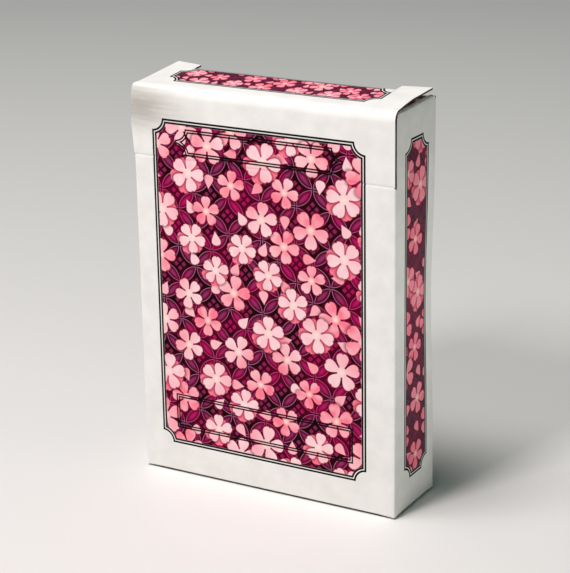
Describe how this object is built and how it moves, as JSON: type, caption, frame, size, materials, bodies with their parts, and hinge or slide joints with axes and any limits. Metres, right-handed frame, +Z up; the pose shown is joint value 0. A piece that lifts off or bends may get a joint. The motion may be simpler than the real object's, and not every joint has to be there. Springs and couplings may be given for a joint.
{
  "type": "playing card deck",
  "caption": "Poker-size playing cards standing in a paperboard tuck box, with a hinged lid, a tuck flap and two dust flaps.",
  "frame": {"origin": "centre of the box's footprint, on the surface that it stands on", "axes": "+Z up, the broad face with the lid's score line towards -Y, the right-hand side towards +X"},
  "size_m": [0.065, 0.0196, 0.093],
  "materials": {
    "printed_board": "coated white paperboard with print",
    "card_stock": "coated card stock, satin"
  },
  "bodies": {
    "box": {"tuck_box": "printed_board"},
    "lid_front": {"lid_front": "printed_board"},
    "lid_top": {"lid_top": "printed_board"},
    "tuck_flap": {"tuck_flap": "printed_board"},
    "dust_left": {"dust_flap_left": "printed_board"},
    "dust_right": {"dust_flap_right": "printed_board"},
    "deck": {"card_spade_ace": "card_stock", "card_spade_2": "card_stock", "card_spade_3": "card_stock", "card_spade_4": "card_stock", "card_spade_5": "card_stock", "card_spade_6": "card_stock", "card_spade_7": "card_stock", "card_spade_8": "card_stock", "card_spade_9": "card_stock", "card_spade_10": "card_stock", "card_spade_jack": "card_stock", "card_spade_queen": "card_stock", "card_spade_king": "card_stock", "card_heart_ace": "card_stock", "card_heart_2": "card_stock", "card_heart_3": "card_stock", "card_heart_4": "card_stock", "card_heart_5": "card_stock", "card_heart_6": "card_stock", "card_heart_7": "card_stock", "card_heart_8": "card_stock", "card_heart_9": "card_stock", "card_heart_10": "card_stock", "card_heart_jack": "card_stock", "card_heart_queen": "card_stock", "card_heart_king": "card_stock", "card_club_ace": "card_stock", "card_club_2": "card_stock", "card_club_3": "card_stock", "card_club_4": "card_stock", "card_club_5": "card_stock", "card_club_6": "card_stock", "card_club_7": "card_stock", "card_club_8": "card_stock", "card_club_9": "card_stock", "card_club_10": "card_stock", "card_club_jack": "card_stock", "card_club_queen": "card_stock", "card_club_king": "card_stock", "card_diamond_ace": "card_stock", "card_diamond_2": "card_stock", "card_diamond_3": "card_stock", "card_diamond_4": "card_stock", "card_diamond_5": "card_stock", "card_diamond_6": "card_stock", "card_diamond_7": "card_stock", "card_diamond_8": "card_stock", "card_diamond_9": "card_stock", "card_diamond_10": "card_stock", "card_diamond_jack": "card_stock", "card_diamond_queen": "card_stock", "card_diamond_king": "card_stock", "card_joker_red": "card_stock", "card_joker_black": "card_stock"}
  },
  "joints": [
    {"name": "score_hinge", "type": "hinge", "parent": "box", "child": "lid_front", "pos_m": [0, -0.00975, 0.0755], "axis": [1, 0, 0], "range_deg": [0, 54]},
    {"name": "lid_hinge", "type": "hinge", "parent": "lid_front", "child": "lid_top", "pos_m": [0, -0.00975, 0.0891], "axis": [1, 0, 0], "range_deg": [0, 100]},
    {"name": "tuck_hinge", "type": "hinge", "parent": "lid_top", "child": "tuck_flap", "pos_m": [0, 0.00419, 0.09261], "axis": [1, 0, 0], "range_deg": [0, 25]},
    {"name": "left_dust_hinge", "type": "hinge", "parent": "box", "child": "dust_left", "pos_m": [-0.0325, 0, 0.09005], "axis": [0, -1, 0], "range_deg": [0, 100]},
    {"name": "right_dust_hinge", "type": "hinge", "parent": "box", "child": "dust_right", "pos_m": [0.0325, 0, 0.09005], "axis": [0, 1, 0], "range_deg": [0, 100]},
    {"name": "deck_slide", "type": "slide", "parent": "box", "child": "deck", "axis": [0, 0, 1], "range_m": [0, 0.0008]}
  ],
  "couplings": [
    {"joint": "score_hinge", "follows": "lid_hinge", "ratio": 0.54},
    {"joint": "tuck_hinge", "follows": "lid_hinge", "ratio": 0.25},
    {"joint": "left_dust_hinge", "follows": "lid_hinge", "ratio": 1},
    {"joint": "right_dust_hinge", "follows": "lid_hinge", "ratio": 1}
  ]
}
